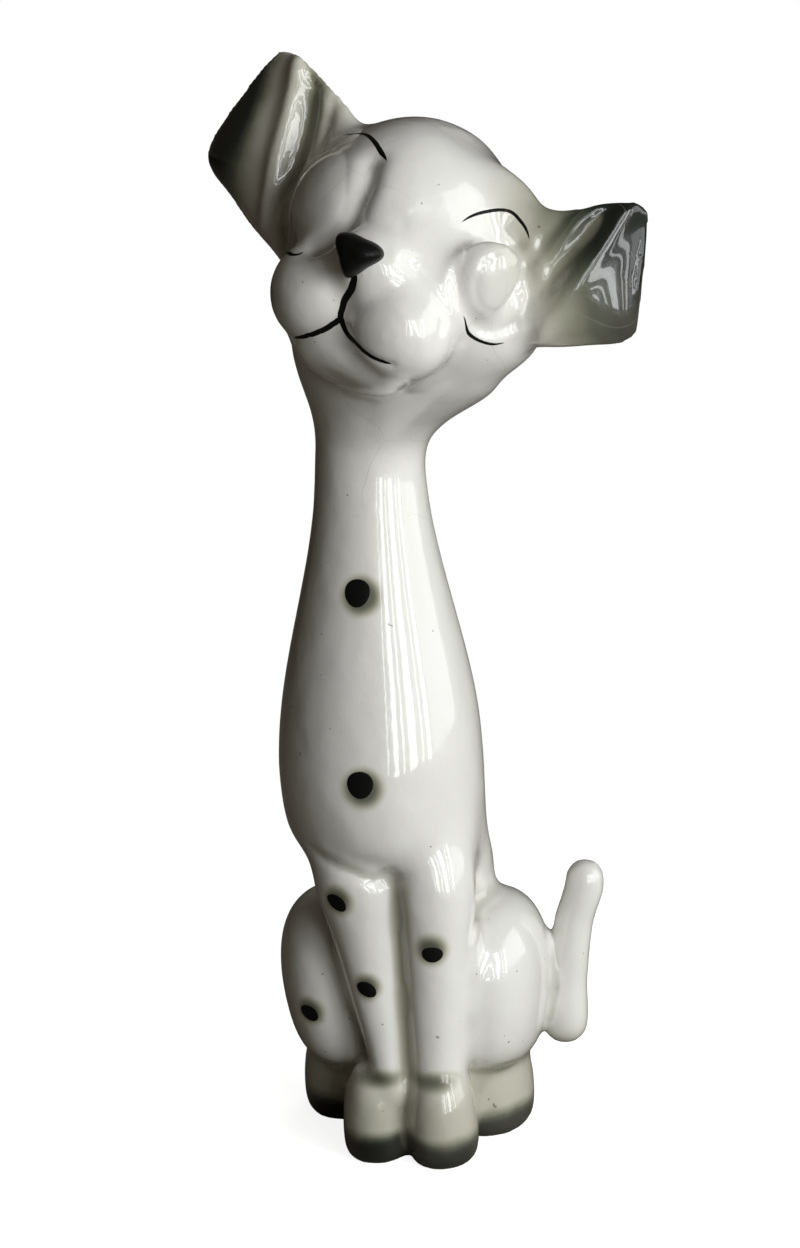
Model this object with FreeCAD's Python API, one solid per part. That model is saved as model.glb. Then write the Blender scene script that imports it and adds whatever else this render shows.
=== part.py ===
import FreeCAD, Part
import math
import os

# A sitting long-necked dog, a hollow slip-cast ceramic ornament, glazed white.
# Millimetres, +Z up. The figure stands on z = 0 and faces -Y, so its own left side is +X. The origin
# is the middle of its footprint. The real ornament is one fired piece: each node here is a member
# that is cast or pressed by itself and joined with slip while the clay is soft, so each is trimmed
# to the face of what carries it, and the joints have no gap.

V = FreeCAD.Vector
outline_points = 12               # points on each smooth closed outline

# Casting
wall = 4.0                        # thickness of the cast shell
overrun = 5.0                     # how far a trimming shape runs past what it trims

# Neck and chest, one long pear that leans a little to the figure's right
joint_x = -7.8
joint_y = 1.0
joint_z = 204.0                   # level of the joint between neck and head
neck_radius = 16.0                # the neck's thinnest place, just under the joint
chest_x = -7.1
chest_y = -5.0
chest_z = 112.0                   # level of the chest's widest place
chest_half_width = 29.6
chest_half_depth = 31.0

# Waist, where the chest's round underside has run back behind the forelegs
waist_x = -2.0
waist_y = 8.0
waist_z = 75.0
waist_half_width = 24.5
waist_half_depth = 21.0

# Rump, the broad foot that carries the figure
rump_x = 0.0
rump_y = 10.5
rump_z = 28.0                     # level of its widest place
rump_half_width = 30.0
rump_half_depth = 25.5
foot_half_width = 27.0            # where it meets the floor
foot_half_depth = 23.0

# Pouring hole under the rump, and the pressed disc that closes it
hole_y = 15.0
hole_radius = 11.0
disc_thickness = 3.4
vent_radius = 1.5

# Forelegs: columns side by side, each on a round paw
shoulder_y = -12.0
shoulder_z = 104.0                # where the columns end inside the chest
shoulder_half_width = 12.0
shoulder_half_depth = 11.0
right_shoulder_x = -13.0
left_shoulder_x = 5.0
foreleg_y = -18.0
foreleg_z = 86.0                  # level of the widest places below
foreleg_half_depth = 13.0
right_foreleg_x = -12.2
right_foreleg_half_width = 14.2
left_foreleg_x = 9.9
left_foreleg_half_width = 12.6
ankle_y = -21.0
ankle_z = 26.0
ankle_half_depth = 9.0
right_ankle_x = -4.6
right_ankle_half_width = 5.8
left_ankle_x = 9.2
left_ankle_half_width = 8.2
forepaw_height = 27.0
forepaw_half_length = 12.5
forepaw_half_width = 10.4
right_forepaw_x = -9.2
right_forepaw_y = -20.5
left_forepaw_x = 10.2
left_forepaw_y = -22.5

# Haunches: a full round thigh over a round hind paw
haunch_y = 6.0
haunch_bottom_z = 21.0
haunch_top_z = 71.0
haunch_half_width = 17.4
haunch_half_depth = 27.0
right_haunch_bottom_x = -22.0
right_haunch_top_x = -26.5
left_haunch_bottom_x = 20.4
left_haunch_top_x = 21.4
hindpaw_height = 27.0
hindpaw_half_length = 18.0
hindpaw_half_width = 13.2
right_hindpaw_x = -26.0
right_hindpaw_y = 14.5
left_hindpaw_x = 19.2
left_hindpaw_y = 6.5

# Tail: it leaves the rump behind the left haunch and leans outwards as it rises
tail_x = 41.2
tail_y = 16.0
tail_z = 28.0
tail_rise = 45.0
tail_lean = 7.2                   # how far its tip stands out past its root
tail_root_radius = 6.0
tail_tip_radius = 4.8

# Head: modelled upright round its own centre, then turned and tilted on the neck
head_x = 15.1
head_y = -7.0
head_z = 261.6
head_turn = -14.5                 # degrees about the vertical, towards the figure's right
head_tilt = 22.4                  # degrees about its own front-to-back line
head_nod = -4.9                   # degrees about its own ear-to-ear line
skull_y = -4.0
skull_half_width = 39.0
skull_half_depth = 35.0
jaw_z = -24.0                     # the throat ends here and the skull begins
crown_x = -7.5
crown_z = 35.0

# Closed eyelids, shallow domes on the skull. A depth here is measured back from the skull's front.
lid_x = 25.5
lid_depth = 12.5
lid_z = 3.8
lid_turn = 47.0                   # degrees round the head from straight ahead
lid_half_width = 10.5
lid_half_height = 12.5
lid_half_depth = 4.0

# Muzzle: two round jowls that meet in a crease, a bridge above them and a chin below
bridge_depth = 7.0
bridge_z = -4.0
bridge_half_width = 15.5
bridge_half_depth = 17.0
bridge_half_height = 13.5
jowl_x = 11.8
jowl_depth = 5.0
jowl_z = -16.5
jowl_radius = 15.0
chin_depth = 9.0
chin_z = -28.5
chin_half_width = 19.0
chin_half_depth = 14.5
chin_half_height = 13.0

# Nose: a pad shaped like a rounded triangle, point down
nose_stand = 11.0                 # how far its middle stands out in front of the skull
nose_z = 0.0
nose_half_width = 6.4
nose_half_height = 6.5
nose_depth = 6.0
nose_corner_share = 0.14
nose_dome_shares = [(-1.0, 0.8), (0.0, 1.0), (0.5, 0.96), (0.85, 0.72), (1.0, 0.35)]

# Ears: thick flaps that stand out and up from the sides of the head
left_ear_x = 31.5
right_ear_x = 38.0
ear_y = -8.0
left_ear_z = 5.5
right_ear_z = 4.4
left_ear_length = 30.6
right_ear_length = 33.0
left_ear_half_height = 19.5
right_ear_half_height = 22.6      # the farther ear is a little bigger
ear_front = 6.5                   # how far the front lobe swells from the flap's middle plane
ear_back = 4.5
ear_skew = 1.8                    # how much farther its upper corner reaches than its middle
ear_rise = 23.0                   # degrees above level
ear_sweep = 8.0                   # degrees backwards

# How each stretch of the body swells on its way up: share of its height, share of its swelling
foot_shares = [(0.0, 0.0), (0.35, 0.75), (1.0, 1.0)]
back_shares = [(0.38, 0.18), (0.72, 0.62), (1.0, 1.0)]
underside_shares = [
    (0.16, 0.15), (0.27, 0.36), (0.35, 0.56), (0.43, 0.73), (0.54, 0.87), (0.68, 0.95), (1.0, 1.0)]
neck_shares = [(0.19, 0.08), (0.38, 0.31), (0.57, 0.61), (0.76, 0.88), (0.93, 1.0), (1.0, 0.98)]
# How the throat spreads from neck to jaw: share of its length, share of its spreading
throat_shares = [(0.0, 0.0), (0.12, 0.03), (0.3, 0.19), (0.5, 0.5), (0.74, 0.81)]
# The skull from jaw to crown: share of its height, of its half width and half depth, and of its lean
skull_shares = [
    (0.0, 0.84, 0.78, 0.0), (0.17, 0.965, 0.9, 0.0), (0.34, 0.96, 0.97, 0.4), (0.51, 0.855, 1.0, 0.8),
    (0.66, 0.72, 0.96, 1.0), (0.8, 0.56, 0.8, 1.0), (0.905, 0.385, 0.58, 1.0), (0.975, 0.2, 0.3, 1.0),
    (1.0, 0.08, 0.11, 1.0)]
# How a foreleg swells from ankle to knee and on to the shoulder, in the same way
foreleg_shares = [(-0.12, 0.0), (0.0, 0.0), (0.25, 0.2), (0.5, 0.45), (0.8, 0.8), (1.0, 1.0)]
shoulder_shares = [(0.5, 0.4), (1.0, 1.0)]
# An ear along its length: share of its length, then of its height, its swell and where its valley lies
ear_shares = [
    (-0.5, 1.0, 1.0, 0.45), (-0.25, 1.0, 1.0, 0.45), (0.0, 1.0, 1.0, 0.5), (0.3, 1.0, 1.0, 0.6),
    (0.6, 0.97, 0.95, 0.72), (0.8, 0.97, 0.85, 0.8), (0.91, 0.93, 0.7, 0.84), (0.97, 0.87, 0.55, 0.84),
    (1.0, 0.77, 0.42, 0.8)]
# Its outline from the lower edge over the front lobe, and back down behind: height, swell
ear_front_shares = [(-1.0, 0.0), (-0.84, 0.7), (-0.35, 1.05), (0.1, 0.85)]
valley_swell_share = 0.4
rim_swell_share = 0.5
ear_back_shares = [(1.0, 0.0), (0.75, 0.75), (0.1, 1.0), (-0.65, 0.85)]
# The shape of a thigh: share of its height, share of its half width and half depth
haunch_shares = [
    (0.0, 0.55), (0.06, 0.74), (0.16, 0.88), (0.32, 0.97), (0.5, 1.0), (0.66, 0.97), (0.8, 0.87),
    (0.9, 0.71), (0.97, 0.48), (1.0, 0.25)]
# The shape of a paw: share of its height, share of its half width and half length
paw_shares = [(0.0, 0.86), (0.1, 0.96), (0.32, 1.0), (0.62, 0.95), (0.84, 0.8), (1.0, 0.55)]


def smooth_outline(points, along=None):
    """A closed smooth curve through the points, evenly spread along its parameter or as given."""
    if along is None:
        along = [step / len(points) for step in range(len(points) + 1)]
    curve = Part.BSplineCurve()
    curve.interpolate(Points=points, PeriodicFlag=True, Parameters=along)
    return Part.Wire([curve.toShape()])


def spread_by_length(points):
    """Parameters that follow the distances between the points of a closed outline."""
    lengths = [0]
    for start, end in zip(points, points[1:] + points[:1]):
        lengths.append(lengths[-1] + (end - start).Length)
    return [length / lengths[-1] for length in lengths]


def ellipse(x, y, z, half_width, half_depth):
    """A level ellipse that starts on its +X side, so that a loft doesn't twist."""
    turns = [2 * math.pi * step / outline_points for step in range(outline_points)]
    return smooth_outline([V(x + half_width * math.cos(turn), y + half_depth * math.sin(turn), z)
                           for turn in turns])


def loft(outlines, degree=5):
    """A smooth solid through closed outlines, with flat ends."""
    solid, ruled, closed = True, False, False
    return Part.makeLoft(outlines, solid, ruled, closed, degree)


def column(sections):
    """A smooth solid through level ellipses, each (x, y, z, half width, half depth)."""
    return loft([ellipse(*section) for section in sections])


def egg(x, y, z, half_width, half_depth, half_height):
    """An ellipsoid."""
    scale = FreeCAD.Matrix()
    scale.scale(half_width, half_depth, half_height)
    shape = Part.makeSphere(1).transformGeometry(scale)
    shape.translate(V(x, y, z))
    return shape


def between(start, end, share):
    return start + (end - start) * share


def stretch(low, high, shares):
    """Sections of one stretch of the body. A station is (x, y, z, half width, half depth)."""
    sections = []
    for height_share, swell_share in shares:
        middle = [between(low[axis], high[axis], height_share) for axis in range(3)]
        size = [between(low[axis], high[axis], swell_share) for axis in (3, 4)]
        sections.append(middle + size)
    return sections


def body_form(inset):
    """The body's outside, or with an inset the space inside it, which runs through the neck joint."""
    foot = (rump_x, rump_y, 0, foot_half_width, foot_half_depth)
    rump = (rump_x, rump_y, rump_z, rump_half_width, rump_half_depth)
    waist = (waist_x, waist_y, waist_z, waist_half_width, waist_half_depth)
    chest = (chest_x, chest_y, chest_z, chest_half_width, chest_half_depth)
    joint = (joint_x, joint_y, joint_z, neck_radius, neck_radius)
    sections = stretch(foot, rump, foot_shares) + stretch(rump, waist, back_shares)
    sections += underside(waist, chest) + stretch(chest, joint, neck_shares)
    sections[0][2] += inset
    return column([(x, y, z, width - inset, depth - inset) for x, y, z, width, depth in sections])


def underside(waist, chest):
    """Sections from the waist up to the chest, whose front comes forward like the end of an egg."""
    sections = []
    for height_share, swell_share in underside_shares:
        section = [between(waist[axis], chest[axis], swell_share) for axis in range(5)]
        section[2] = between(waist[2], chest[2], height_share)
        sections.append(section)
    return sections


def make_body():
    """Neck, chest and rump, cast in one hollow piece that is open at the neck and under the rump."""
    outside = body_form(0)
    hole = Part.makeCylinder(hole_radius, wall + 2 * overrun, V(rump_x, hole_y, -overrun))
    return outside, outside.cut(body_form(wall)).cut(hole)


def make_disc():
    """The disc pressed into the pouring hole, with the vent that lets the firing gases out."""
    disc = Part.makeCylinder(hole_radius, disc_thickness, V(rump_x, hole_y, wall - disc_thickness))
    return disc.cut(Part.makeCylinder(vent_radius, wall + 2 * overrun, V(rump_x, hole_y, -overrun)))


def make_paw(x, y, half_width, half_length, height):
    """A paw: flat under its sole, fullest low down, and rounded over at its top."""
    return column([(x, y, height * height_share, half_width * size_share, half_length * size_share)
                   for height_share, size_share in paw_shares])


def make_foreleg(ankle_x, ankle_half_width, knee_x, knee_half_width, shoulder_x, paw_x, paw_y):
    """One foreleg with its paw, whole, before it is trimmed to its neighbours."""
    ankle = (ankle_x, ankle_y, ankle_z, ankle_half_width, ankle_half_depth)
    knee = (knee_x, foreleg_y, foreleg_z, knee_half_width, foreleg_half_depth)
    shoulder = (shoulder_x, shoulder_y, shoulder_z, shoulder_half_width, shoulder_half_depth)
    leg = column(stretch(ankle, knee, foreleg_shares) + stretch(knee, shoulder, shoulder_shares))
    return leg.fuse(make_paw(paw_x, paw_y, forepaw_half_width, forepaw_half_length, forepaw_height))


def make_haunch(bottom_x, top_x, paw_x, paw_y):
    """One thigh with its hind paw, whole."""
    thigh = column([(between(bottom_x, top_x, height_share), haunch_y,
                     between(haunch_bottom_z, haunch_top_z, height_share),
                     haunch_half_width * size_share, haunch_half_depth * size_share)
                    for height_share, size_share in haunch_shares])
    return thigh.fuse(make_paw(paw_x, paw_y, hindpaw_half_width, hindpaw_half_length, hindpaw_height))


def make_tail():
    """The tail, a round taper that starts upright and leans out more and more, rounded at both ends."""
    sections = []
    for angle in (-80, -55, -28):
        sections.append((tail_x, tail_y, tail_z + tail_root_radius * math.sin(math.radians(angle)),
                         tail_root_radius * math.cos(math.radians(angle))))
    for height_share in (0.0, 0.25, 0.5, 0.75, 1.0):
        sections.append((tail_x + tail_lean * height_share ** 2, tail_y, tail_z + tail_rise * height_share,
                         between(tail_root_radius, tail_tip_radius, height_share)))
    for angle in (28, 55, 80):
        sections.append((tail_x + tail_lean, tail_y,
                         tail_z + tail_rise + tail_tip_radius * math.sin(math.radians(angle)),
                         tail_tip_radius * math.cos(math.radians(angle))))
    return column([(x, y, z, radius, radius) for x, y, z, radius in sections])


def head_placement():
    """How the head's own frame sits on the neck."""
    return FreeCAD.Placement(V(head_x, head_y, head_z), FreeCAD.Rotation(head_turn, head_tilt, head_nod))


def place_on_neck(shape):
    """Turns a shape from the head's own frame to its place on the neck."""
    turned = shape.copy()
    turned.Placement = head_placement().multiply(shape.Placement)
    return turned


def skull_form(inset):
    """Throat and skull in one sweep that bends into the head's tilt, or the space inside them."""
    upright = FreeCAD.Rotation()
    tilted = head_placement().Rotation
    neck_end = V(joint_x, joint_y, joint_z)
    jaw = head_placement().multVec(V(0, skull_y, jaw_z))
    jaw_half_width = skull_half_width * skull_shares[0][1]
    jaw_half_depth = skull_half_depth * skull_shares[0][2]
    outlines = []
    for length_share, spread_share in throat_shares:
        outline = ellipse(0, 0, 0, between(neck_radius, jaw_half_width, spread_share) - inset,
                          between(neck_radius, jaw_half_depth, spread_share) - inset)
        outline.Placement = FreeCAD.Placement(between(neck_end, jaw, length_share),
                                              upright.slerp(tilted, length_share))
        outlines.append(outline)
    size_share = 1 - inset / skull_half_depth
    for height_share, width_share, depth_share, lean_share in skull_shares:
        outline = ellipse(crown_x * lean_share, skull_y, between(jaw_z, crown_z - inset, height_share),
                          skull_half_width * width_share * size_share,
                          skull_half_depth * depth_share * size_share)
        outline.Placement = head_placement().multiply(outline.Placement)
        outlines.append(outline)
    return loft(outlines)


def skull_front():
    """Where the front of the skull lies, in the head's own frame."""
    return skull_y - skull_half_depth


def muzzle_lobes():
    """Bridge, chin and jowls in the head's own frame."""
    lobes = [egg(0, skull_front() + bridge_depth, bridge_z, bridge_half_width, bridge_half_depth,
                 bridge_half_height),
             egg(0, skull_front() + chin_depth, chin_z, chin_half_width, chin_half_depth,
                 chin_half_height)]
    for side in (-1, 1):
        lobes.append(egg(side * jowl_x, skull_front() + jowl_depth, jowl_z, jowl_radius, jowl_radius,
                         jowl_radius))
    return lobes


def make_lid(side):
    """One closed eyelid, a shallow dome in the head's own frame."""
    lid = egg(0, 0, 0, lid_half_width, lid_half_depth, lid_half_height)
    lid.Placement = FreeCAD.Placement(V(side * lid_x, skull_front() + lid_depth, lid_z),
                                      FreeCAD.Rotation(V(0, 0, 1), side * lid_turn))
    return lid


def make_head():
    """Head and throat, cast in one hollow piece with its muzzle and closed eyelids."""
    outside = skull_form(0)
    for lump in muzzle_lobes() + [make_lid(-1), make_lid(1)]:
        outside = outside.fuse(place_on_neck(lump))
    return outside, outside.cut(skull_form(wall))


def make_nose():
    """A domed pad in the outline of a rounded triangle, point down."""
    sections = []
    for depth_share, size_share in nose_dome_shares:
        points = []
        for step in range(outline_points):
            angle = 2 * math.pi * step / outline_points
            reach = size_share * (1 + nose_corner_share * math.cos(3 * (angle + math.pi / 2)))
            points.append(V(nose_half_width * reach * math.cos(angle),
                            skull_front() - nose_stand - nose_depth * depth_share,
                            nose_z + nose_half_height * reach * math.sin(angle)))
        sections.append(smooth_outline(points))
    return loft(sections)


def make_ear(side, x, z, length, half_height):
    """One flap in the head's own frame: a big front lobe, a valley, and a rim lobe above it."""
    sections = []
    for out_share, height_share, swell_share, valley_share in ear_shares:
        profile = ear_front_shares + [(valley_share, valley_swell_share),
                                      (between(valley_share, 1, 0.5), rim_swell_share)]
        profile = [(up, -ear_front * rise) for up, rise in profile]
        profile += [(up, ear_back * rise) for up, rise in ear_back_shares]
        sections.append([V((length + ear_skew * up) * out_share, swell * swell_share,
                           half_height * height_share * up) for up, swell in profile])
    along = spread_by_length(sections[0])
    flap = loft([smooth_outline(points, along) for points in sections], 3)
    flap.Placement = FreeCAD.Placement(V(x, ear_y, z), FreeCAD.Rotation(ear_sweep, -ear_rise, 0))
    if side < 0:
        flap = flap.mirror(V(0, 0, 0), V(1, 0, 0))
    return flap


def trim(shape, *neighbours):
    """A member cut to the faces of its neighbours, less the scrap that a cut leaves in a corner."""
    for neighbour in neighbours:
        shape = shape.cut(neighbour)
    return max(shape.Solids, key=lambda solid: solid.Volume)


def save(shape, node):
    shape.exportStep(os.path.join("parts", node + ".step"))


os.makedirs("parts", exist_ok=True)
body_outside, body = make_body()
head_outside, head = make_head()
right_foreleg = trim(make_foreleg(right_ankle_x, right_ankle_half_width, right_foreleg_x,
                                  right_foreleg_half_width, right_shoulder_x, right_forepaw_x,
                                  right_forepaw_y), body_outside)
left_foreleg = trim(make_foreleg(left_ankle_x, left_ankle_half_width, left_foreleg_x,
                                 left_foreleg_half_width, left_shoulder_x, left_forepaw_x,
                                 left_forepaw_y), body_outside, right_foreleg)
right_haunch = trim(make_haunch(right_haunch_bottom_x, right_haunch_top_x, right_hindpaw_x, right_hindpaw_y),
                    body_outside, right_foreleg)
left_haunch = trim(make_haunch(left_haunch_bottom_x, left_haunch_top_x, left_hindpaw_x, left_hindpaw_y),
                   body_outside, left_foreleg)
save(body, "body")
save(make_disc(), "base_disc")
save(head, "head")
save(right_foreleg, "right_foreleg")
save(left_foreleg, "left_foreleg")
save(right_haunch, "right_haunch")
save(left_haunch, "left_haunch")
save(trim(make_tail(), body_outside, left_haunch), "tail")
save(trim(place_on_neck(make_nose()), head_outside), "nose")
save(trim(place_on_neck(make_ear(-1, right_ear_x, right_ear_z, right_ear_length,
                                  right_ear_half_height)), head_outside), "right_ear")
save(trim(place_on_neck(make_ear(1, left_ear_x, left_ear_z, left_ear_length,
                                  left_ear_half_height)), head_outside), "left_ear")
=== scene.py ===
import math

import bmesh
import bpy
import numpy as np
from mathutils import Matrix, Vector
from mathutils.bvhtree import BVHTree


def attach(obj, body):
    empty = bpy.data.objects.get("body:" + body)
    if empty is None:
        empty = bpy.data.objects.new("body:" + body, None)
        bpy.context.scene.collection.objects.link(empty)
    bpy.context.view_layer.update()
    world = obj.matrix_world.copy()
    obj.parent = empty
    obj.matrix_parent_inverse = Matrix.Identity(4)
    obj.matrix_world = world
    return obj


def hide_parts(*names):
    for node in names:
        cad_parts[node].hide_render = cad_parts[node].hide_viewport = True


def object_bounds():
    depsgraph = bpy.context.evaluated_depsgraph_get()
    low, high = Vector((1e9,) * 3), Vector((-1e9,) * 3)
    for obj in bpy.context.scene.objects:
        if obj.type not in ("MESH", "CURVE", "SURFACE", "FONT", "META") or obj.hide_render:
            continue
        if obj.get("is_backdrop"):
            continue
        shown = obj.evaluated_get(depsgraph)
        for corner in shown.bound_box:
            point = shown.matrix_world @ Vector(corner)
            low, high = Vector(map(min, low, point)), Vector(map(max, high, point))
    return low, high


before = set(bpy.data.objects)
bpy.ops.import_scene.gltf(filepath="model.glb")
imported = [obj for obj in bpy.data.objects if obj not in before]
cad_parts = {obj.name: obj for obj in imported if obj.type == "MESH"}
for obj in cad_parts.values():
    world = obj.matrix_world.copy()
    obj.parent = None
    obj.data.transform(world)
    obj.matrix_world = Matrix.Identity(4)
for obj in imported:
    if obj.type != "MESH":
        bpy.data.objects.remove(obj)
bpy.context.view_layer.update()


# The castings. Body, head, ears, legs, haunches and tail are slip cast or pressed from warm white clay.
# They come together here soft, in their places, with a plug that shuts the pouring hole from inside, so
# that the skin over the base disc is closed.
MM = 0.001
cast_nodes = ["body", "head", "right_foreleg", "left_foreleg", "right_haunch", "left_haunch", "tail",
              "right_ear", "left_ear"]
plug_radius = 12.5 * MM
plug_low = 2.6 * MM
plug_high = 6.0 * MM
plug_place = Vector((0, 15, 0)) * MM + Vector((0, 0, (plug_low + plug_high) / 2))

clay = bmesh.new()
for name in cast_nodes:
    clay.from_mesh(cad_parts[name].data)
bmesh.ops.create_cone(clay, cap_ends=True, segments=48, radius1=plug_radius, radius2=plug_radius,
                      depth=plug_high - plug_low, matrix=Matrix.Translation(plug_place))


# The luted joints. The castings are stuck together with slip, the clay's own cream, and rolls of it round
# off the crown over the left ear and both shoulders. A wet thumb smooths every joint before the firing,
# which makes all of them one skin.
head_centre = Vector((15.1, -7.0, 261.6)) * MM
head_yaw, head_tilt, head_nod = math.radians(-14.5), math.radians(22.4), math.radians(-4.9)
head_turn = (Matrix.Rotation(head_yaw, 3, "Z") @ Matrix.Rotation(head_tilt, 3, "Y")
             @ Matrix.Rotation(head_nod, 3, "X"))
upright = Matrix.Identity(3)
clay_grain = 1.22 * MM


def on_figure(point):
    """A point in millimetres as a place in the figure's frame."""
    return Vector(point) * MM


def on_head(point):
    """A point of the head's own frame, in millimetres, as a place in the figure's frame."""
    return head_centre + head_turn @ (Vector(point) * MM)


def cast(shape, grain):
    """Fuses the overlapping shells of a bmesh into one skin and returns its mesh."""
    mesh = bpy.data.meshes.new("cast")
    shape.to_mesh(mesh)
    shape.free()
    mould = bpy.data.objects.new("mould", mesh)
    bpy.context.scene.collection.objects.link(mould)
    remesh = mould.modifiers.new("remesh", "REMESH")
    remesh.mode = "VOXEL"
    remesh.voxel_size = grain
    found = mould.evaluated_get(bpy.context.evaluated_depsgraph_get())
    fused = bpy.data.meshes.new_from_object(found)
    bpy.data.objects.remove(mould)
    return fused


def keep_outer_skin(mesh):
    """Deletes every shell but the one that reaches highest, such as the lining of the cavity."""
    shape = bmesh.new()
    shape.from_mesh(mesh)
    top = max(shape.verts, key=lambda vert: vert.co.z)
    reached = {top}
    edge_of_reach = [top]
    while edge_of_reach:
        vert = edge_of_reach.pop()
        for edge in vert.link_edges:
            other = edge.other_vert(vert)
            if other not in reached:
                reached.add(other)
                edge_of_reach.append(other)
    bmesh.ops.delete(shape, geom=[vert for vert in shape.verts if vert not in reached], context="VERTS")
    shape.to_mesh(mesh)
    shape.free()


def read_places(mesh):
    place = np.empty(len(mesh.vertices) * 3)
    mesh.vertices.foreach_get("co", place)
    return place.reshape(-1, 3)


def read_normals(mesh):
    normal = np.empty(len(mesh.vertices) * 3)
    mesh.vertices.foreach_get("normal", normal)
    return normal.reshape(-1, 3)


def write_places(mesh, place):
    mesh.vertices.foreach_set("co", place.ravel())
    mesh.update()


def flow(mesh, pulls, share=1.0):
    """Lets the skin flow: each round has a pull that fills hollows and one that wears crests."""
    ends = np.empty(len(mesh.edges) * 2, np.int32)
    mesh.edges.foreach_get("vertices", ends)
    start, end = ends.reshape(-1, 2).T
    place = read_places(mesh)
    count = len(place)
    neighbours = np.bincount(ends, minlength=count)[:, None]
    rounds_per_normal = 4
    for turn, (hollow, crest) in enumerate(pulls):
        if turn % rounds_per_normal == 0:
            write_places(mesh, place)
            normal = read_normals(mesh)
        middle = np.stack([np.bincount(start, place[end, axis], count)
                           + np.bincount(end, place[start, axis], count) for axis in range(3)], 1)
        step = middle / neighbours - place
        pull = np.where((step * normal).sum(1) > 0, hollow, crest) * share
        place = place + step * pull[:, None]
    write_places(mesh, place)


def nearness(place, spots, reach):
    """1 close to any of the spots, falling to 0 a little beyond reach, for each place."""
    near = np.zeros(len(place))
    for spot in spots:
        away = np.linalg.norm(place - np.array(spot), axis=1) / reach
        near = np.maximum(near, np.clip(1.2 - away, 0, 1))
    return near


slip_rolls = [
    # middle, radii in millimetres, how the roll is turned
    (on_head((16, -5, 18.5)), (12.5, 10, 11.5), head_turn),
    (on_head((10.5, -5, 24)), (9, 9, 7.6), head_turn),
    (on_figure((14, -13, 99)), (8, 9, 14), upright),
    (on_figure((-17.5, -16, 98)), (7.5, 9, 14), upright)]
for middle, radii, turn in slip_rolls:
    stretched = Matrix.Translation(middle) @ turn.to_4x4() @ Matrix.Diagonal((*(Vector(radii) * MM), 1))
    bmesh.ops.create_uvsphere(clay, u_segments=32, v_segments=16, radius=1, matrix=stretched)
skin = cast(clay, clay_grain)
keep_outer_skin(skin)

even_out = [(0.5, 0.5), (-0.52, -0.52)]
fill_creases = [(0.5, 0.06)]
soften_all = [(0.5, 0.5)]
for pulls in (even_out * 4, fill_creases * 24, even_out * 2):
    flow(skin, pulls)

neck_radius = 16
neck_joint = [(-7.8 + neck_radius * math.cos(turn / 2), 1 + neck_radius * math.sin(turn / 2), 204)
              for turn in range(13)]
thumbed = [
    # frame of the spots, the spots, how far the thumb reaches, the pulls of each round
    # Ears' middles, and their roots.
    (on_head, [(-55, -4, 12), (-52, -4, 24), (46, -4, 12), (56, -2, 16)], 30, even_out * 9),
    (on_head, [(-31, -2, 26), (-26, -9, 28), (-36, -15, 12), (-37, -17, 0), (-35, -16, -11), (-30, 0, 30),
               (30, -4, 22), (33, -13, 12), (37, -15, 3), (39, -14, -7), (38, -10, -15), (31, 2, 24),
               (36, 4, 16)], 13, [(0.5, 0.1)] * 60),
    # Haunches over the hind paws, forelegs under the chest, shoulders.
    (on_figure, [(27, -12, 22), (33, -4, 22), (20, -14, 22), (-31, -10, 22), (-36, 0, 22), (-25, -14, 22)],
     12, [(0.5, 0.1)] * 20),
    (on_figure, [(-20, -20, 72), (-17, -22, 60), (-14, -23, 50), (-11, -24, 40), (22, -20, 72),
                 (21, -22, 60), (20, -22, 48), (20, -23, 36)], 9, [(0.5, 0.15)] * 50),
    (on_figure, [(18, -22, 97), (17, -24, 90), (24, -14, 92), (15, -24, 104), (-24, -16, 95),
                 (-25, -16, 101), (-22, -22, 100)], 15, soften_all * 130),
    # Crown over the left ear, right eye, left temple, neck, chin, the right ear's outer corner.
    (on_head, [(14, -8, 29), (20, -8, 27), (26, -8, 24), (18, 2, 27), (9, -8, 31), (29, -6, 20),
               (13, -2, 30), (12, 3, 29)], 13, soften_all * 150),
    (on_head, [(-22, -29, 8), (-16, -33, 12), (-25, -26, 2), (-18, -36, 0)], 9, [(0.5, 0.2)] * 70),
    (on_head, [(15, -34, 12), (16, -36, 5), (17, -38, -2), (18, -31, 15), (19, -36, 4), (19, -35, 9),
               (20, -33, 14), (20, -36, -2), (21, -35, -7), (24, -30, 16)], 10, [(0.5, 0.2)] * 220),
    (on_figure, neck_joint, 9, soften_all * 60),
    (on_head, [(0, -30, -40), (10, -28, -40), (18, -26, -36), (-10, -28, -40), (2, -36, -40),
               (12, -34, -40)], 12, [(0.5, 0.3)] * 120),
    (on_head, [(-58.5, -5, 37), (-57, 0, 36)], 9, soften_all * 30)]
for placed, points, reach, pulls in thumbed:
    flow(skin, pulls, nearness(read_places(skin), [placed(point) for point in points], reach * MM))

# The tail takes on a last coat of slip, because all that smoothing has worn it thin.
tail_middle = [on_figure((44 + step, 16, 26 + 9 * step)) for step in range(6)]
tail_reach = 11 * MM
tail_coat = 0.9 * MM
coated = tail_coat * np.minimum(nearness(read_places(skin), tail_middle, tail_reach) * 2, 1)
write_places(skin, read_places(skin) + read_normals(skin) * coated[:, None])


# The face. It is part of the head's casting, and its mould is cut finer than the rest, so its skin is
# divided once more before the relief of eyes, mouth and ears is pressed in. The relief is given in
# millimetres, on the head's own frame.
face_low = (-42, -62, -36)
face_high = (42, -6, 27)
head_foot = 222 * MM
head_back = head_turn.transposed()
turn_rows = np.array(head_turn)

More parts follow.
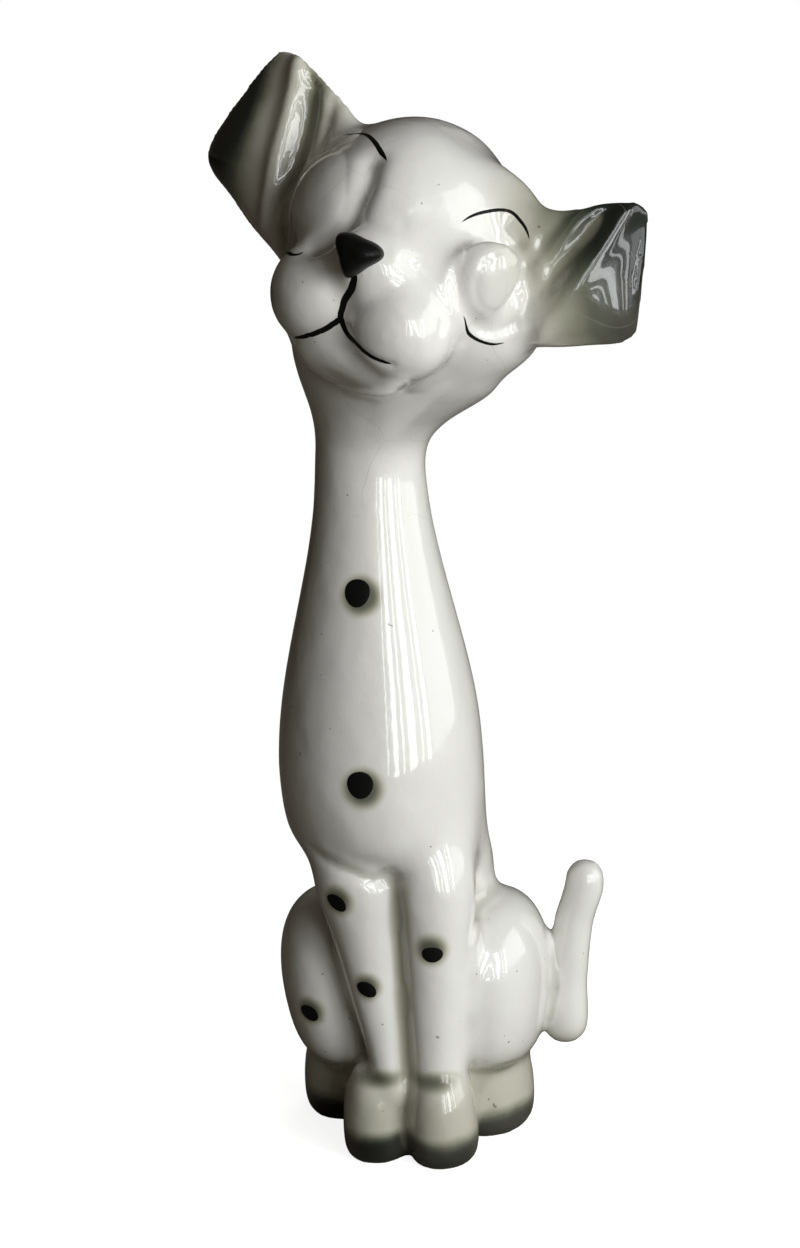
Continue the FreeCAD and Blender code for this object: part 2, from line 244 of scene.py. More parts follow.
shape = bmesh.new()
shape.from_mesh(skin)
face = set()
for vert in shape.verts:
    spot = head_back @ (vert.co - head_centre) / MM
    if all(low < value < high for low, value, high in zip(face_low, spot, face_high)):
        face.add(vert)
bmesh.ops.subdivide_edges(shape, edges=[edge for edge in shape.edges if set(edge.verts) <= face],
                          cuts=1, use_grid_fill=True)
shape.to_mesh(skin)
shape.free()
flow(skin, even_out * 3)


def smooth_path(points, steps=10):
    """A smooth run through the points, with even steps between each pair."""
    points = [Vector(point) for point in points]
    points = [points[0] * 2 - points[1]] + points + [points[-1] * 2 - points[-2]]
    path = []
    for before, start, end, after in zip(points, points[1:], points[2:], points[3:]):
        for step in range(steps):
            t = step / steps
            path.append(0.5 * (2 * start + (end - before) * t
                               + (2 * before - 5 * start + 4 * end - after) * t ** 2
                               + (3 * start - before - 3 * end + after) * t ** 3))
    return path + [points[-2]]


def bell(value, width):
    return np.exp(-(value / width) ** 2)


def gap_to(path, points):
    """Each point's distance from a smooth path, in the path's own units."""
    run = np.array(smooth_path(path, 4))
    gap = np.full(len(points), 1e6)
    for start, end in zip(run, run[1:]):
        share = np.clip((points - start) @ (end - start) / ((end - start) @ (end - start)), 0, 1)
        gap = np.minimum(gap, np.linalg.norm(points - start - share[:, None] * (end - start), axis=1))
    return gap


place = read_places(skin)
on_the_head = place[:, 2] > head_foot
head_normal = read_normals(skin)[on_the_head]
local = (place[on_the_head] - np.array(head_centre)) @ turn_rows / MM
facing = -(head_normal @ turn_rows)[:, 1]
push = np.zeros(len(local))


# The closed eyes. Each is an oval dome in the head's mould, the left one with a groove round it and a
# faint fold of the lid inside. Between the right eye and the bridge the face is dented deeply.
eye_ring = [(25.2, -28.7, 15.4), (21.9, -33.6, 8.8), (22.2, -33.8, 0.9), (26, -29.5, -5.9),
            (31, -22.1, -9.6), (34.5, -14.2, -4.8), (33.9, -14.1, 5), (27.4, -11.4, 12.3),
            (25.2, -28.7, 15.4)]
dent_path = [(12.1, -33.6, 19.9), (10.6, -36.4, 16.2), (10.2, -38.4, 10.2), (11.0, -41.1, 2.8),
             (16.0, -42.5, -4.5)]
groove_width = 2.1
rim_place, rim_width = 3.4, 1.5
fold_place, fold_width = 0.66, 0.08
dent_width = 3.6
eye_height = 4
dome_aside, dome_forth = 0.52, 0.85
rim_share = 0.4
eyes = [
    # side, its dome's middle across and back, its radius, swell, groove's depth, fold's depth, dent's depth
    (-1, 24.0, -28.0, 14.0, 2.2, 0.0, 0.0, 2.6),
    (1, 28.2, -23.5, 11.5, 0.3, 0.6, 0.14, 0.0)]
for side, middle_across, middle_back, radius, swell, groove_depth, fold_depth, dent_depth in eyes:
    mirror = np.array((side, 1, 1))
    across, back, up = (local * mirror).T
    over_dome = (across - middle_across) * dome_aside + (back - middle_back) * dome_forth
    ring = np.hypot(over_dome / radius, (up - eye_height) / (radius + 1))
    away = gap_to(np.array(eye_ring) * mirror, local)
    lid = swell * np.clip(1 - ring ** 2, 0, 1) - groove_depth * bell(away, groove_width)
    lid += groove_depth * rim_share * bell(away - rim_place, rim_width) * (ring > 1)
    lid -= fold_depth * bell(ring - fold_place, fold_width)
    push += lid * (back < -7) * (up < 27)
    push -= dent_depth * bell(gap_to(np.array(dent_path) * mirror, local), dent_width) * (back < -20)


# The mouth, jowls and chin. The mouth's line is pressed into the soft clay with a round tool, a softer
# crease sets the left jowl off the cheek, and the chin is pushed in a little under it.
mouth_centre = [(0.6, -50.5, -5.5), (0.4, -48.5, -9.5), (-0.9, -46.5, -13.5), (-1.0, -45.5, -16.5),
                (-0.8, -45.0, -18.8)]
mouth_right = [(-0.8, -45.0, -18.8), (-1.9, -45.3, -21.4), (-3.8, -45.4, -23.9), (-6.8, -45.2, -26.6),
               (-10.1, -43.8, -28.8), (-13.6, -41.2, -30.7)]
mouth_left = [(-0.8, -45.0, -18.8), (1.4, -45.0, -22.0), (5.1, -47.0, -23.4), (8.9, -47.6, -24.5),
              (12.5, -47.4, -24.9), (15.7, -46.8, -24.7), (17.7, -46.0, -24.4)]
jowl_edge = [(5.7, -45.6, 2.4), (12.9, -40.1, -0.1), (22.9, -36.9, -6.8), (25.4, -40.3, -16.4)]
mouth_depth, mouth_width = 0.55, 1.4
jowl_depth, jowl_width = 0.45, 2.6
chin_place, chin_depth, chin_reach = (2, -38, -40), 3.2, 12
face_back = -6

mouth = np.min([gap_to(path, local) for path in (mouth_centre, mouth_right, mouth_left)], 0)
push -= mouth_depth * bell(mouth, mouth_width) + jowl_depth * bell(gap_to(jowl_edge, local), jowl_width)
push -= chin_depth * bell(np.linalg.norm(local - np.array(chin_place), axis=1), chin_reach)
push *= local[:, 1] < face_back


# The ears and the crown. An ear is pressed from a slab of clay: its face has a ridge from the outer upper
# corner to the root's lower end, folds above the ridge and a shallow dish below. The left ear's end is
# curled back by hand, so that it mirrors the window, and the crown is patted a little flatter.
ear_outwards = np.array((0.9115, 0.1281, 0.3907))
ear_upwards = np.array((-0.3869, -0.0544, 0.9205))
ears = [
    # side, root on the head, length, half height, how far the ridge is moved up, its height, curl
    (-1, (-38, -8, 4.4), 33, 22.6, 4.5, 2.0, 0),
    (1, (31.5, -8, 5.5), 30.6, 19.5, 0, 1.3, 13)]
ridge_slant = 0.62
ridge_width = 2.9
valley_place, valley_width, valley_share = 6.5, 3.0, 1.3
fold_line, fold_line_width, fold_line_depth = 14, 2.2, 0.9
dish_place, dish_width, dish_depth = -10, 8, 0.9
curl_start = 0.3
curl_thickness = 20
curl_way = turn_rows @ np.array((-0.32, 0.95, 0))
crown_place, crown_depth, crown_reach = (-3, -5, 36), 2.2, 14

curl = np.zeros(len(local))
for side, root, length, half, shift, ridge, curled in ears:
    mirror = np.array((side, 1, 1))
    from_root = local - np.array(root)
    out = from_root @ (ear_outwards * mirror) / length
    high = from_root @ (ear_upwards * mirror) / half
    above = (high - 2 * out + 1) * half * ridge_slant - shift
    ear_relief = (ridge * bell(above, ridge_width)
                  - valley_share * ridge * bell(above - valley_place, valley_width)
                  - fold_line_depth * bell(above - fold_line, fold_line_width)
                  - dish_depth * bell(above - dish_place, dish_width))
    on_ear = np.clip(out * 6 + 0.2, 0, 1) * np.clip((facing - 0.35) * 3, 0, 1) * (out < 1.2)
    push += ear_relief * on_ear * (np.abs(high) < 1.3)
    bent = curled * np.clip(out - curl_start, 0, None) ** 2
    curl += bent * (np.abs(high) < 1.4) * (np.abs(from_root[:, 1]) < curl_thickness)
push -= crown_depth * bell(np.linalg.norm(local - np.array(crown_place), axis=1), crown_reach)


# The bib. The body's casting ends in a chest over the forelegs, and a crease hangs in a curve between
# the shoulders, drawn into the soft clay and fading out towards its ends.
bib_crease = [(-24, -20, 97), (-17, -27, 91.5), (-9, -32, 87.8), (-1, -33, 86.4), (6, -33, 88.2)]
bib_low, bib_high, bib_back = 80, 108, -8
bib_depth, bib_width = 0.9, 2.0
bib_right_end, bib_right_fade = -27, 6
bib_left_end, bib_left_fade = 7, 9


def surface_of(mesh):
    """A search tree that finds the nearest place on a mesh."""
    return BVHTree.FromPolygons([vert.co for vert in mesh.vertices],
                                [polygon.vertices for polygon in mesh.polygons])


before_crease = surface_of(skin)
hanging = [before_crease.find_nearest(point * MM)[0] / MM for point in smooth_path(bib_crease, 3)]
chest = ((place[:, 2] > bib_low * MM) & (place[:, 2] < bib_high * MM) & (place[:, 1] < bib_back * MM))
across_chest = place[chest][:, 0] / MM
fading = (np.clip((bib_left_end - across_chest) / bib_left_fade, 0, 1)
          * np.clip((across_chest - bib_right_end) / bib_right_fade, 0, 1))
crease = bib_depth * bell(gap_to(hanging, place[chest] / MM), bib_width) * fading * MM
place[chest] -= read_normals(skin)[chest] * crease[:, None]
place[on_the_head] += head_normal * (push * MM)[:, None] + (curl * MM)[:, None] * curl_way
write_places(skin, place)
flow(skin, even_out * 2)

# Hollows are painted darker, as painted shade in the creases and the glaze and dirt that gather there. How
# deep each point lies in one is how far the skin would rise there if it flowed until even, in millimetres,
# and the glaze reads that.
evened = skin.copy()
flow(evened, soften_all * 30)
depth = ((read_places(evened) - read_places(skin)) * read_normals(skin)).sum(1) / MM
bpy.data.meshes.remove(evened)
skin.attributes.new("hollow", "FLOAT", "POINT").data.foreach_set("value", depth)


# The glaze. Under a clear gloss glaze shows the clay's warm white, with an airbrushed grey-green on ears
# and paws that turns black where it is laid thick. Each place that was sprayed takes its share of the
# white away, and so does the painted shade in the cleft between the forelegs and in the right ear's
# valley. The foot is wiped clean before the firing.
class Tone:
    """A value, colour or place that varies over a surface, so that materials are plain arithmetic."""

    def __init__(self, tree, socket=None):
        self.tree = tree
        self.socket = socket

    def node(self, kind, settings=None, inputs=None, output=0):
        """Adds one node, sets it up, feeds its sockets and returns the output that is asked for."""
        made = self.tree.nodes.new(kind)
        for name, value in (settings or {}).items():
            if name == "stops":
                ramp = made.color_ramp
                while len(ramp.elements) < len(value):
                    ramp.elements.new(1)
                for element, (place, colour) in zip(ramp.elements, value):
                    element.position = place
                    element.color = (*colour, 1)
            else:
                setattr(made, name, value)
        for name, value in (inputs or {}).items():
            if isinstance(value, Tone):
                self.tree.links.new(value.socket, made.inputs[name])
            else:
                made.inputs[name].default_value = value
        return Tone(self.tree, made.outputs[output] if len(made.outputs) else None)

    def maths(self, operation, *values):
        return self.node("ShaderNodeMath", {"operation": operation}, dict(enumerate(values)))

    def __add__(self, other):
        return self.maths("ADD", self, other)

    def __sub__(self, other):
        return self.maths("SUBTRACT", self, other)

    def __rsub__(self, other):
        return self.maths("SUBTRACT", other, self)

    def __mul__(self, other):
        return self.maths("MULTIPLY", self, other)

    def __abs__(self):
        return self.maths("ABSOLUTE", self)

    __radd__ = __add__
    __rmul__ = __mul__

    def at_most(self, limit):
        return self.maths("MINIMUM", self, limit)

    def rise(self, low, high):
        """0 below low and 1 above high, with a soft step between them."""
        return self.node("ShaderNodeMapRange", {"interpolation_type": "SMOOTHSTEP"},
                         {"Value": self, "From Min": low, "From Max": high})

    def along(self, start, direction):
        """How far this position lies from start in a direction, in metres."""
        offset = self.node("ShaderNodeVectorMath", {"operation": "SUBTRACT"}, {0: self, 1: start})
        return self.node("ShaderNodeVectorMath", {"operation": "DOT_PRODUCT"},
                         {0: offset, 1: direction}, 1)

    def distance(self, point):
        return self.node("ShaderNodeVectorMath", {"operation": "DISTANCE"}, {0: self, 1: point}, 1)

    def noise(self, scale, detail=2.0):
        return self.node("ShaderNodeTexNoise", None, {"Vector": self, "Scale": scale, "Detail": detail})

    def mix(self, start, end):
        """A colour between two others, by this tone."""
        return self.node("ShaderNodeMix", {"data_type": "RGBA"}, {0: self, 6: start, 7: end}, 2)


def new_material(name):
    """An empty material, with the Tone of its surface position."""
    material = bpy.data.materials.new(name)
    material.use_nodes = True
    material.node_tree.nodes.clear()
    start = Tone(material.node_tree)
    return material, start.node("ShaderNodeTexCoord", output=3)


def finish_material(place, **sockets):
    """One Principled shader with these sockets, as the material's surface."""
    inputs = {name.replace("_", " "): value for name, value in sockets.items()}
    shader = place.node("ShaderNodeBsdfPrincipled", None, inputs)
    place.node("ShaderNodeOutputMaterial", None, {"Surface": shader})


def show_piece(name, mesh, material):
    """A finished piece at the origin, with smooth faces, that stays with the figure."""
    piece = bpy.data.objects.new(name, mesh)
    bpy.context.scene.collection.objects.link(piece)
    mesh.materials.clear()
    mesh.materials.append(material)
    mesh.polygons.foreach_set("use_smooth", [True] * len(mesh.polygons))
    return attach(piece, "root")


bisque_colour = (0.70, 0.62, 0.50)
warm_tint = (0.72, 0.68, 0.58, 1)
crease_shade_and_dirt_colour = (0.30, 0.285, 0.215, 1)
speck_colour = (0.12, 0.10, 0.07, 1)
craze_colour = (0.36, 0.32, 0.25, 1)
sprayed_stops = [
    # share of the white that is gone, colour
    (0.0, (0.81, 0.80, 0.765)), (0.2, (0.60, 0.585, 0.50)), (0.42, (0.32, 0.32, 0.245)),
    (0.66, (0.095, 0.105, 0.075)), (0.87, (0.020, 0.025, 0.019)), (1.0, (0.008, 0.011, 0.009))]
spots = [
    # place, half width, half height, lean in degrees, halo's middle, halo's reach
    ((-8.0, -22.3, 168.0), 3.7, 4.0, 0, (-7.0, -22.3, 167.0), 7.0),
    ((-6.7, -35.7, 116.1), 3.8, 3.9, 0, (-5.8, -35.5, 114.9), 7.4),
    ((-16.5, -30.3, 79.4), 3.4, 2.3, -28, (-16.0, -30.0, 80.0), 6.2),
    ((-9.0, -30.2, 53.4), 3.2, 2.2, -22, (-8.9, -30.0, 54.2), 5.6),
    ((10.7, -30.3, 64.6), 3.2, 2.3, 0, (10.5, -30.3, 65.8), 6.4),
    ((-28.9, -19.6, 41.5), 3.3, 2.4, -15, (-28.4, -19.5, 42.2), 6.0)]
toes = ((-9.2, -33, 0), (10.2, -35, 0), (-37, 4, 0), (30, -9, 0))
paw_creases = ((-7, -31, 26, 12), (9.5, -32, 26, 12), (-31, -9, 23, 11), (27, -12, 23, 11))
halo_share, toe_share, paw_share, crease_share, cleft_shade_share = 0.66, 0.99, 0.27, 0.6, 0.35
thickest_spray = 0.975

glaze, at = new_material("white_glaze")
height = at.along((0, 0, 0), (0, 0, 1))
forward = at.along((0, 0, 0), (0, -1, 0))
cloud = at.noise(70.0, 3.0) - 0.5

# The paws are misted all over. The cleft between the forelegs is darkened from the front, partly as painted
# shade and partly as dirt.
white = 1 - (1 - height.rise(0.016, 0.032)) * paw_share
cleft = abs(at.along((1.8 * MM, 0, 0), (1, 0, 0)))
between_forelegs_shade = height.rise(0.022, 0.030) * (1 - height.rise(0.08, 0.09)) * forward.rise(0.010, 0.016)
white *= 1 - (1 - cleft.rise(0.0005, 0.0045)) * between_forelegs_shade * cleft_shade_share

for side, root, length, half, _, _, _ in ears:
    mirror = np.array((side, 1, 1))
    out = at.along(on_head(root), head_turn @ Vector(ear_outwards * mirror))
    out = (out + cloud * 0.006) * (1 / (length * MM))
    high = at.along(on_head(root), head_turn @ Vector(ear_upwards * mirror)) * (1 / (half * MM))
    fold = high - out * 2 + 1
    from_middle = at.distance(on_head((root[0] + side * 20, -6, root[2] + 10)))
    on_this_ear = 1 - from_middle.rise(0.038, 0.046)
    thickness = (out + high * 0.15).rise(-0.3, 1.0)
    if side < 0:
        upper_end = (1 - fold.rise(-0.9, 0.0)) * out.rise(0.15, 0.9)
        # The valley above the ridge is darkened as well, as painted shade.
        valley_shade = fold.rise(0.45, 0.8) * (1 - fold.rise(0.9, 1.25))
        thickness = upper_end * 0.92 + valley_shade * 0.3 + out.rise(-0.2, 0.3) * 0.2
    white *= 1 - (thickness * on_this_ear).at_most(thickest_spray)
for _, _, half_height, _, halo, halo_reach in spots:
    sprayed = at.distance(on_figure(halo)) + cloud * 0.002
    white *= 1 - (1 - sprayed.rise(half_height * 0.7 * MM, halo_reach * MM)) * halo_share
for toe in toes:
    low_down = 1 - (height + cloud * 0.004).rise(0.0045, 0.0115)
    close = 1 - at.distance(on_figure(toe)).rise(0.012, 0.024)
    white *= 1 - low_down * close * toe_share
flattened = at.node("ShaderNodeVectorMath", {"operation": "MULTIPLY"}, {0: at, 1: (1, 1, 3)})
for x, y, z, reach in paw_creases:
    close = 1 - flattened.distance((x * MM, y * MM, z * MM * 3)).rise(0.001, reach * MM)
    white *= 1 - close * crease_share

sprayed_colour = at.node("ShaderNodeValToRGB", {"stops": sprayed_stops}, {0: 1 - white})
warmth = at.noise(28.0).rise(0.35, 0.75) * 0.10
surface_colour = warmth.mix(sprayed_colour, warm_tint)
hollow = at.node("ShaderNodeAttribute", {"attribute_name": "hollow"}, None, 2)
# Hollows darken towards this colour: painted shade in the creases, with some real dirt.
surface_colour = (hollow.rise(0.06, 0.5) * 0.42).mix(surface_colour, crease_shade_and_dirt_colour)
specks = at.noise(620.0, 0.0).rise(0.86, 0.875) * 0.6
surface_colour = specks.mix(surface_colour, speck_colour)
# Fine craze lines have taken up some dirt on the neck and chest.
crazed = at.node("ShaderNodeVectorMath", {"operation": "ADD"}, {0: at, 1: at.noise(40.0) * 0.012})
cracks = at.node("ShaderNodeTexVoronoi", {"feature": "DISTANCE_TO_EDGE"}, {"Vector": crazed, "Scale": 24.0})
craze = (1 - cracks.rise(0.001, 0.0045)) * at.noise(23.0).rise(0.45, 0.6) * height.rise(0.09, 0.15) * 0.2
surface_colour = craze.mix(surface_colour, craze_colour)
foot_wiped = 1 - height.rise(0.0002, 0.0007)
surface_colour = foot_wiped.mix(surface_colour, (*bisque_colour, 1))
ripple = at.noise(95.0, 1.0) * 0.75 + at.noise(420.0) * 0.12
relief = at.node("ShaderNodeBump", None, {"Strength": 0.45, "Distance": 0.0014, "Height": ripple})
finish_material(at, Base_Color=surface_colour, Roughness=foot_wiped * 0.6 + 0.2,
                Coat_Weight=1 - foot_wiped, Coat_Roughness=0.035, IOR=1.5, Normal=relief)

figure = show_piece("glazed_figure", skin, glaze)
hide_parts(*cast_nodes)


# The nose. It is a pad of clay pressed on the bridge's end and brushed with black enamel, wide and
# nearly flat at the top, with a blunt point below, where the mouth's line starts.
nose_grain = 0.42 * MM
point_width, added_width, flare = 0.34, 0.78, 0.75
nose_squat = 0.84
nose_lift = 0.8 * MM

enamel, at = new_material("black_enamel")
brushed = at.noise(900.0)
worn = at.noise(240.0, 3.0).rise(0.62, 0.8) * 0.25
enamel_colour = worn.mix((0.004, 0.0045, 0.004, 1), (0.012, 0.013, 0.012, 1))
enamel_relief = at.node("ShaderNodeBump", None, {"Strength": 0.2, "Distance": 0.0002, "Height": brushed})
finish_material(at, Base_Color=enamel_colour, Roughness=brushed * 0.12 + 0.42, Coat_Weight=0.1,
                Specular_IOR_Level=0.15, Coat_Roughness=0.12, Normal=enamel_relief)

pad = bmesh.new()
pad.from_mesh(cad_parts["nose"].data)
nose_mesh = cast(pad, nose_grain)
flow(nose_mesh, even_out * 3 + soften_all * 5 + even_out * 2)
on_nose = (read_places(nose_mesh) - np.array(head_centre)) @ turn_rows
top, bottom = on_nose[:, 2].max(), on_nose[:, 2].min()
risen = (on_nose[:, 2] - bottom) / (top - bottom)
on_nose[:, 0] *= point_width + added_width * risen ** flare
on_nose[:, 2] = (on_nose[:, 2] - bottom) * nose_squat + bottom + nose_lift
write_places(nose_mesh, on_nose @ turn_rows.T + np.array(head_centre))
flow(nose_mesh, even_out)
nose = show_piece("black_nose", nose_mesh, enamel)
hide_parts("nose")


# Brows, lashes and mouth. They are single strokes of a fine brush with black enamel, each a little
# thicker in its middle, that lie on the glaze and follow the skin under them.
stroke_lift = 0.11 * MM
full_lift_width = 0.3 * MM
stroke_sides = 12
weld = 0.004 * MM
strokes = [
    # path on the head, widths from start to end, in millimetres
    ([(-30.4, -12.3, 19.9), (-24.4, -19.6, 23.0), (-19.8, -23.9, 24.5), (-15.0, -28.2, 24.2),
      (-11.7, -30.8, 23.3), (-9.0, -32.5, 22.3)], (0.2, 0.8, 1.1, 1.4, 1.4, 0.3)),
    ([(15.5, -26.5, 15.2), (16.3, -23.4, 17.0), (17.4, -19.3, 18.5), (18.7, -14.1, 19.2),
      (21.6, -11.9, 19.5), (25.2, -12.1, 18.4), (27.3, -11.6, 16.8), (29.0, -11.0, 15.0)],
     (0.2, 0.7, 0.9, 0.9, 0.9, 0.9, 0.7, 0.2)),
    ([(23.4, -29.4, -7.9), (25.4, -27.7, -10.3), (27.7, -25.6, -12.2), (30.0, -23.2, -13.1),
      (32.6, -20.0, -13.2), (34.6, -16.6, -12.1)], (0.3, 0.9, 1.0, 0.9, 0.8, 0.2)),
    ([(-28.8, -32.5, -12.3), (-26.5, -36.0, -11.5), (-24.0, -39.5, -9.8), (-20.9, -43.2, -8.9),
      (-19.1, -43.7, -7.7), (-18.4, -42.6, -6.2)], (0.3, 1.0, 1.1, 1.1, 0.9, 0.3)),
    (mouth_centre + mouth_left[1:], (1.7, 2.2, 2.0, 1.8, 1.8, 1.8, 1.7, 1.6, 1.4, 1.1, 0.4)),
    (mouth_right, (1.7, 1.8, 1.8, 1.6, 1.3, 0.6))]


def along_run(rail):
    """Evens out a row of vectors, so that a stroke doesn't follow the skin's grain."""
    for _ in range(3):
        rail = [rail[0]] + [(a + b * 2 + c) / 4 for a, b, c in zip(rail, rail[1:], rail[2:])] + [rail[-1]]
    return rail


skin_tree = surface_of(skin)
brushwork = bmesh.new()
for path, widths in strokes:
    run = [on_head(point) for point in smooth_path(path)]
    last = len(run) - 1
    rails = [[], [], [], []]
    for here, point in enumerate(run):
        forth = (run[min(here + 1, last)] - run[max(here - 1, 0)]).normalized()
        width = np.interp(here / last * (len(widths) - 1), range(len(widths)), widths) / 2 * MM
        width *= min(1, here / 2, (last - here) / 2)
        ground, up, _, _ = skin_tree.find_nearest(point)
        aside = up.cross(forth).normalized() * width
        rails[0].append(skin_tree.find_nearest(ground - aside)[0])
        rails[1].append(ground)
        rails[2].append(skin_tree.find_nearest(ground + aside)[0])
        rails[3].append(up * stroke_lift * min(1, width / full_lift_width))
    left_rail, middle_rail, right_rail, lifts = [along_run(rail) for rail in rails]
    line = bmesh.ops.create_grid(brushwork, x_segments=last, y_segments=stroke_sides, size=1)["verts"]
    for vert in line:
        here = round((vert.co.x + 1) / 2 * last)
        turn = math.pi * (vert.co.y + 1)
        aside = math.cos(turn)
        bent = (left_rail[here] + right_rail[here]) / 2 - middle_rail[here]
        vert.co = (middle_rail[here] + (right_rail[here] - left_rail[here]) / 2 * aside
                   + bent * aside ** 2 + lifts[here] * math.sin(turn))
bmesh.ops.remove_doubles(brushwork, verts=brushwork.verts, dist=weld)
bmesh.ops.recalc_face_normals(brushwork, faces=brushwork.faces)


def new_piece(name, shape, material):
    """Makes a bmesh a finished piece."""
    mesh = bpy.data.meshes.new(name)
    shape.to_mesh(mesh)
    shape.free()
    return show_piece(name, mesh, material)


lines_piece = new_piece("brushed_lines", brushwork, enamel)


# The spots. They are dabs of the same enamel, round on neck and chest and flatter on legs and haunch.
# Each has a sprayed halo under the glaze, which the figure's own material carries.
dab_lift = 0.13 * MM
dab_wobble = 0.03
dabs = bmesh.new()
for place_mm, half_width, half_height, lean, _, _ in spots:
    ground, up, _, _ = skin_tree.find_nearest(on_figure(place_mm))
    level = Vector((0, 0, 1)).cross(up).normalized()
    rising = up.cross(level)
    cosine, sine = math.cos(math.radians(lean)), math.sin(math.radians(lean))
    dab = bmesh.ops.create_uvsphere(dabs, u_segments=48, v_segments=16, radius=1)["verts"]
    for vert in dab:
        wobble = 1 + dab_wobble * math.sin(3 * math.atan2(vert.co.y, vert.co.x) + lean)
        across, along = vert.co.x * half_width * wobble, vert.co.y * half_height * wobble
        spot = ground + (level * (across * cosine - along * sine)
                         + rising * (across * sine + along * cosine)) * MM
        spot, away, _, _ = skin_tree.find_nearest(spot)
        vert.co = spot + away * dab_lift * vert.co.z
dabs_piece = new_piece("dabbed_spots", dabs, enamel)


# The base disc. It is a wafer of bare clay pressed into the pouring hole after casting, with a vent
# that lets the firing gases out. It stays unglazed, and matte with a fine grain.
smoked_colour = (0.56, 0.47, 0.36, 1)
bisque, at = new_material("bisque")
grain = at.noise(1500.0, 4.0)
smoked = at.noise(60.0, 3.0).rise(0.4, 0.8)
bisque_tone = (smoked * 0.5).mix((*bisque_colour, 1), smoked_colour)
grainy = at.node("ShaderNodeBump", None, {"Strength": 0.5, "Distance": 0.0002, "Height": grain})
finish_material(at, Base_Color=bisque_tone, Roughness=grain * 0.15 + 0.78, Normal=grainy)
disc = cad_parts["base_disc"]
disc.data.materials.clear()
disc.data.materials.append(bisque)


# The room. A white table runs out into plain white to the camera, while the glaze's reflections and the
# bounced light see it dark, as painted shade of a dim room. A tall window to the front right has the panes
# that give the glaze its upright streaks, a second one stands far to the right, and the room behind is dim.
table_half = 12
floor_shape = bmesh.new()
bmesh.ops.create_grid(floor_shape, x_segments=1, y_segments=1, size=table_half)
floor_mesh = bpy.data.meshes.new("floor")
floor_shape.to_mesh(floor_mesh)
floor_shape.free()
floor = bpy.data.objects.new("floor", floor_mesh)
bpy.context.scene.collection.objects.link(floor)
table, at = new_material("table_top")
seen = at.node("ShaderNodeLightPath")
# Seen by anything but the camera the table is dark: painted shade for the dim room.
dim_floor_shade = at.node("ShaderNodeBsdfDiffuse", None, {"Color": (0.18, 0.16, 0.13, 1)})
white_top = at.node("ShaderNodeBsdfDiffuse", None, {"Color": (0.82, 0.82, 0.82, 1)})
glow = at.node("ShaderNodeEmission", None, {"Color": (1, 1, 1, 1), "Strength": 0.87})
lit = at.node("ShaderNodeAddShader", None, {0: white_top, 1: glow})
haze = at.node("ShaderNodeEmission", None, {"Color": (1, 1, 1, 1), "Strength": 1.0})
far_off = at.distance((0, 0, 0)).rise(0.08, 0.4)
fading = at.node("ShaderNodeMixShader", None, {0: far_off, 1: lit, 2: haze})
shown = at.node("ShaderNodeMixShader", None, {0: seen, 1: dim_floor_shade, 2: fading})
at.node("ShaderNodeOutputMaterial", None, {"Surface": shown})
floor_mesh.materials.append(table)
floor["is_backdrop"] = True

world = bpy.data.worlds.new("room")
bpy.context.scene.world = world
world.use_nodes = True
world.node_tree.nodes.clear()
sky = Tone(world.node_tree)
seen = sky.node("ShaderNodeLightPath")
dim_room = sky.node("ShaderNodeBackground", None, {"Color": (1, 0.85, 0.66, 1), "Strength": 0.05})
white_wall = sky.node("ShaderNodeBackground", None, {"Color": (1, 1, 1, 1), "Strength": 1.0})
around = sky.node("ShaderNodeMixShader", None, {0: seen, 1: dim_room, 2: white_wall})
sky.node("ShaderNodeOutputWorld", None, {"Surface": around})

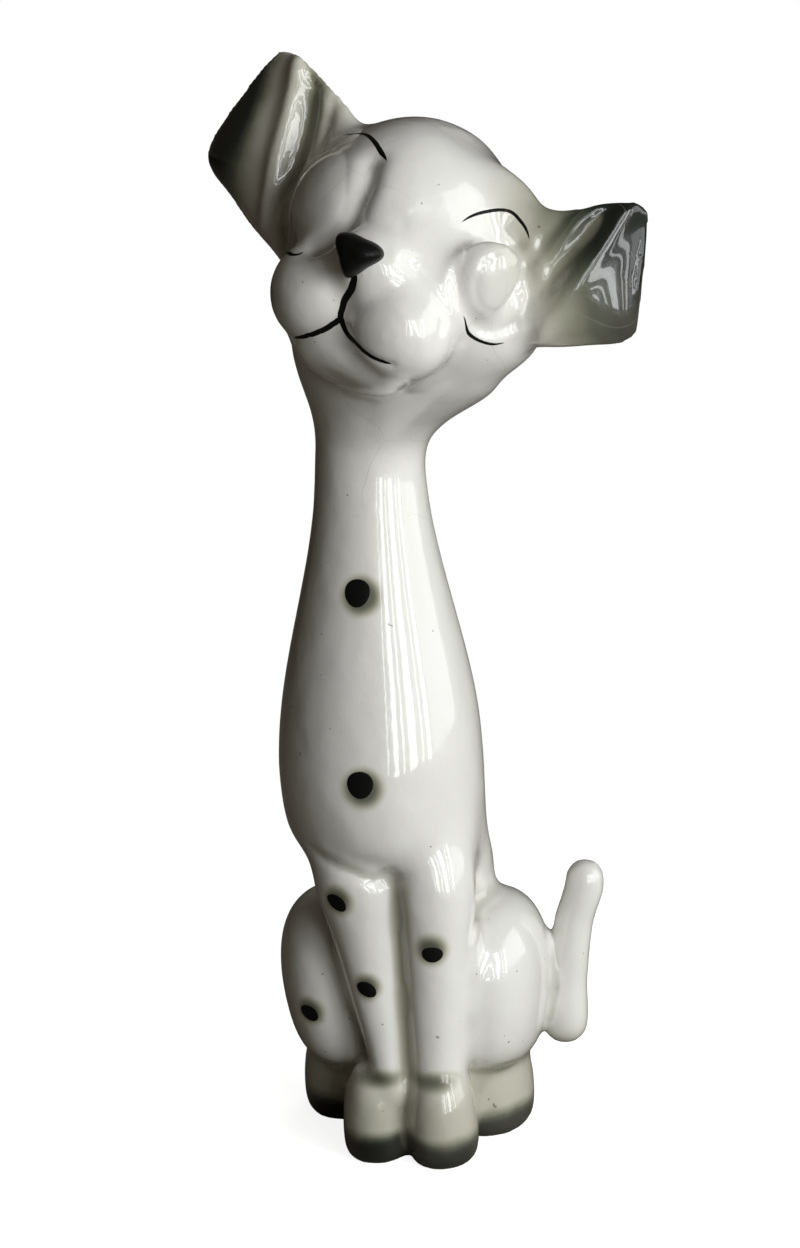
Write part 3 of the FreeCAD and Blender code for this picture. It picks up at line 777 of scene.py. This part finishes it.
window_colour = (0.97, 0.99, 1.0)
window_aim = Vector((0, 0, 0.16))
lamps = [
    # name, degrees right of the figure's front, distance, middle's height, width, height, strength, mirrored
    ("pane_1", 22, 1.2, 0.37, 0.03, 0.70, 0.4, True),
    ("pane_2", 31, 1.2, 0.37, 0.12, 0.70, 1.7, True),
    ("pane_3", 40, 1.2, 0.37, 0.05, 0.70, 0.7, True),
    ("pane_4", 51, 1.2, 0.37, 0.18, 0.70, 2.4, True),
    ("pane_5", 63, 1.2, 0.37, 0.04, 0.70, 0.5, True),
    ("pane_6", 71, 1.2, 0.37, 0.10, 0.70, 1.1, True),
    ("daylight", 56, 1.3, 0.47, 0.8, 0.8, 8.9, False),
    ("side_window", 95, 1.4, 0.55, 1.0, 1.0, 5.0, True),
    ("back_fill", 168, 1.5, 0.6, 0.9, 0.9, 6.5, False)]
for name, bearing, distance, middle_height, width, tall, watts, mirrored in lamps:
    lamp_data = bpy.data.lights.new(name, "AREA")
    lamp_data.shape = "RECTANGLE"
    lamp_data.size = width
    lamp_data.size_y = tall
    lamp_data.energy = watts
    lamp_data.color = window_colour
    lamp = bpy.data.objects.new(name, lamp_data)
    turn = math.radians(bearing)
    lamp.location = (math.sin(turn) * distance, -math.cos(turn) * distance, middle_height)
    lamp.rotation_euler = (Vector(lamp.location) - window_aim).to_track_quat("Z", "Y").to_euler()
    lamp.visible_glossy = mirrored
    bpy.context.scene.collection.objects.link(lamp)


# The camera. It looks at the figure from its own left front and a little above, as the photograph does.
# It stands about two and a half figure heights away, so the head isn't larger than life.
camera_target = Vector((0, -9, 158)) * MM
camera_distance = 780 * MM
camera_azimuth = math.radians(12)
camera_elevation = math.radians(13)
camera_roll = math.radians(2.5)
photo_height = 1248
focal_pixels = 2745
shift_right_pixels, shift_up_pixels = 4, -7
film_height = 36

camera_back = Vector((math.sin(camera_azimuth) * math.cos(camera_elevation),
                      -math.cos(camera_azimuth) * math.cos(camera_elevation),
                      math.sin(camera_elevation)))
level_right = Vector((math.cos(camera_azimuth), math.sin(camera_azimuth), 0))
level_up = camera_back.cross(level_right)
camera_right = level_right * math.cos(camera_roll) - level_up * math.sin(camera_roll)
camera_up = level_right * math.sin(camera_roll) + level_up * math.cos(camera_roll)

camera_data = bpy.data.cameras.new("camera")
camera_data.sensor_width = film_height
camera_data.lens = focal_pixels / photo_height * film_height
camera_data.shift_x = shift_right_pixels / photo_height
camera_data.shift_y = shift_up_pixels / photo_height
camera_data.clip_start = 10 * MM
camera = bpy.data.objects.new("camera", camera_data)
camera.matrix_world = Matrix.Translation(camera_target + camera_back * camera_distance) @ Matrix(
    (camera_right, camera_up, camera_back)).transposed().to_4x4()
bpy.context.scene.collection.objects.link(camera)
bpy.context.scene.camera = camera
bpy.context.scene.view_settings.view_transform = "Standard"


low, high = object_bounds()
